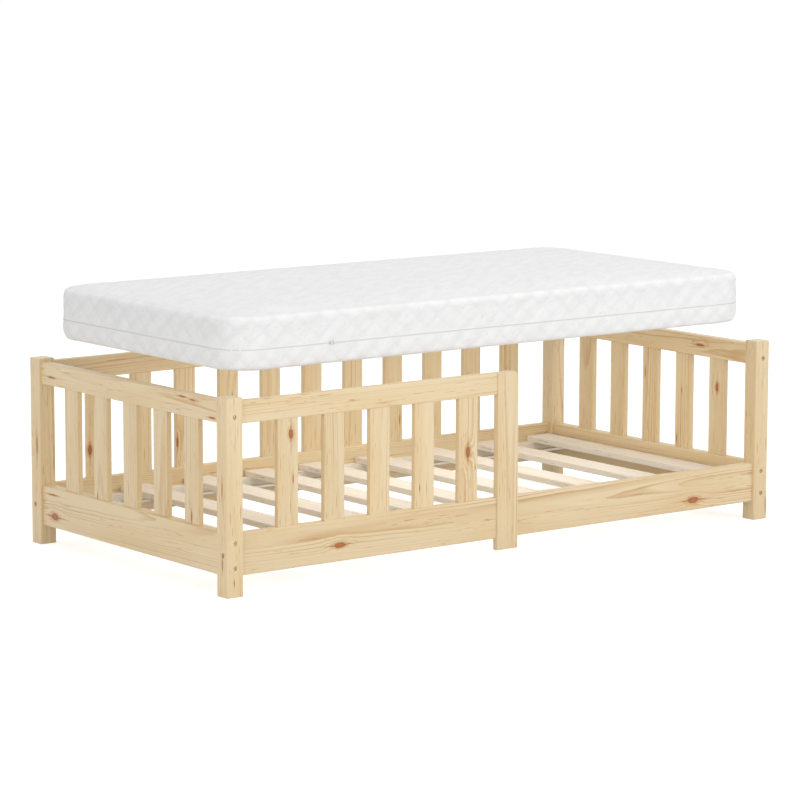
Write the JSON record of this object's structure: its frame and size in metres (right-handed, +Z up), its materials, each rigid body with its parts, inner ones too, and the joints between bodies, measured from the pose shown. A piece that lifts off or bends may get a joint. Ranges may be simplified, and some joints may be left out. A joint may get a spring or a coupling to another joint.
{
  "type": "toddler floor bed",
  "caption": "Low pine toddler bed with railed and slatted sides, a half-length guard rail at the front, a slatted base and a zipped quilted mattress held above it",
  "frame": {"origin": "on the floor under the middle of the bed's footprint", "axes": "+X along the bed from the head end to the foot end, +Y from the open front to the railed back, +Z up"},
  "size_m": [1.692, 0.858, 0.651],
  "materials": {
    "pine_lacquered": "pine under a clear satin lacquer, with knots and grain along each board",
    "pine_raw": "planed pine without lacquer, paler and matt",
    "screw_steel": "zinc-plated steel",
    "tape_white": "woven white tape",
    "mattress_cover": "white quilted jersey cover with small soft bumps",
    "zip_tape": "closed white zip",
    "slider_metal": "polished metal zip slider"
  },
  "bodies": {
    "bed": {"head_front_post": "pine_lacquered", "head_back_post": "pine_lacquered", "foot_front_post": "pine_lacquered", "foot_back_post": "pine_lacquered", "guard_post": "pine_lacquered", "guard_top_rail": "pine_lacquered", "front_side_rail": "pine_lacquered", "back_top_rail": "pine_lacquered", "back_bottom_rail": "pine_lacquered", "head_top_rail": "pine_lacquered", "head_bottom_rail": "pine_lacquered", "foot_top_rail": "pine_lacquered", "foot_bottom_rail": "pine_lacquered", "back_upright_01": "pine_lacquered", "back_upright_02": "pine_lacquered", "back_upright_03": "pine_lacquered", "back_upright_04": "pine_lacquered", "back_upright_05": "pine_lacquered", "back_upright_06": "pine_lacquered", "back_upright_07": "pine_lacquered", "back_upright_08": "pine_lacquered", "back_upright_09": "pine_lacquered", "back_upright_10": "pine_lacquered", "back_upright_11": "pine_lacquered", "guard_upright_1": "pine_lacquered", "guard_upright_2": "pine_lacquered", "guard_upright_3": "pine_lacquered", "guard_upright_4": "pine_lacquered", "guard_upright_5": "pine_lacquered", "head_upright_1": "pine_lacquered", "head_upright_2": "pine_lacquered", "head_upright_3": "pine_lacquered", "head_upright_4": "pine_lacquered", "head_upright_5": "pine_lacquered", "foot_upright_1": "pine_lacquered", "foot_upright_2": "pine_lacquered", "foot_upright_3": "pine_lacquered", "foot_upright_4": "pine_lacquered", "foot_upright_5": "pine_lacquered", "front_ledger": "pine_raw", "back_ledger": "pine_raw", "bed_slat_1": "pine_raw", "bed_slat_2": "pine_raw", "bed_slat_3": "pine_raw", "bed_slat_4": "pine_raw", "bed_slat_5": "pine_raw", "bed_slat_6": "pine_raw", "bed_slat_7": "pine_raw", "bed_slat_8": "pine_raw", "bed_slat_9": "pine_raw", "front_slat_tape": "tape_white", "back_slat_tape": "tape_white", "post_screws": "screw_steel"},
    "mattress_body": {"mattress": "mattress_cover", "mattress_zip": "zip_tape"},
    "slider_body": {"zip_slider": "slider_metal"}
  },
  "joints": [
    {"name": "mattress_lift", "type": "slide", "parent": "bed", "child": "mattress_body", "axis": [0, 0, -1], "range_m": [0, 0.3907]},
    {"name": "zip_slide_front", "type": "slide", "parent": "mattress_body", "child": "slider_body", "axis": [1, 0, 0], "range_m": [-0.184, 1.236]}
  ]
}
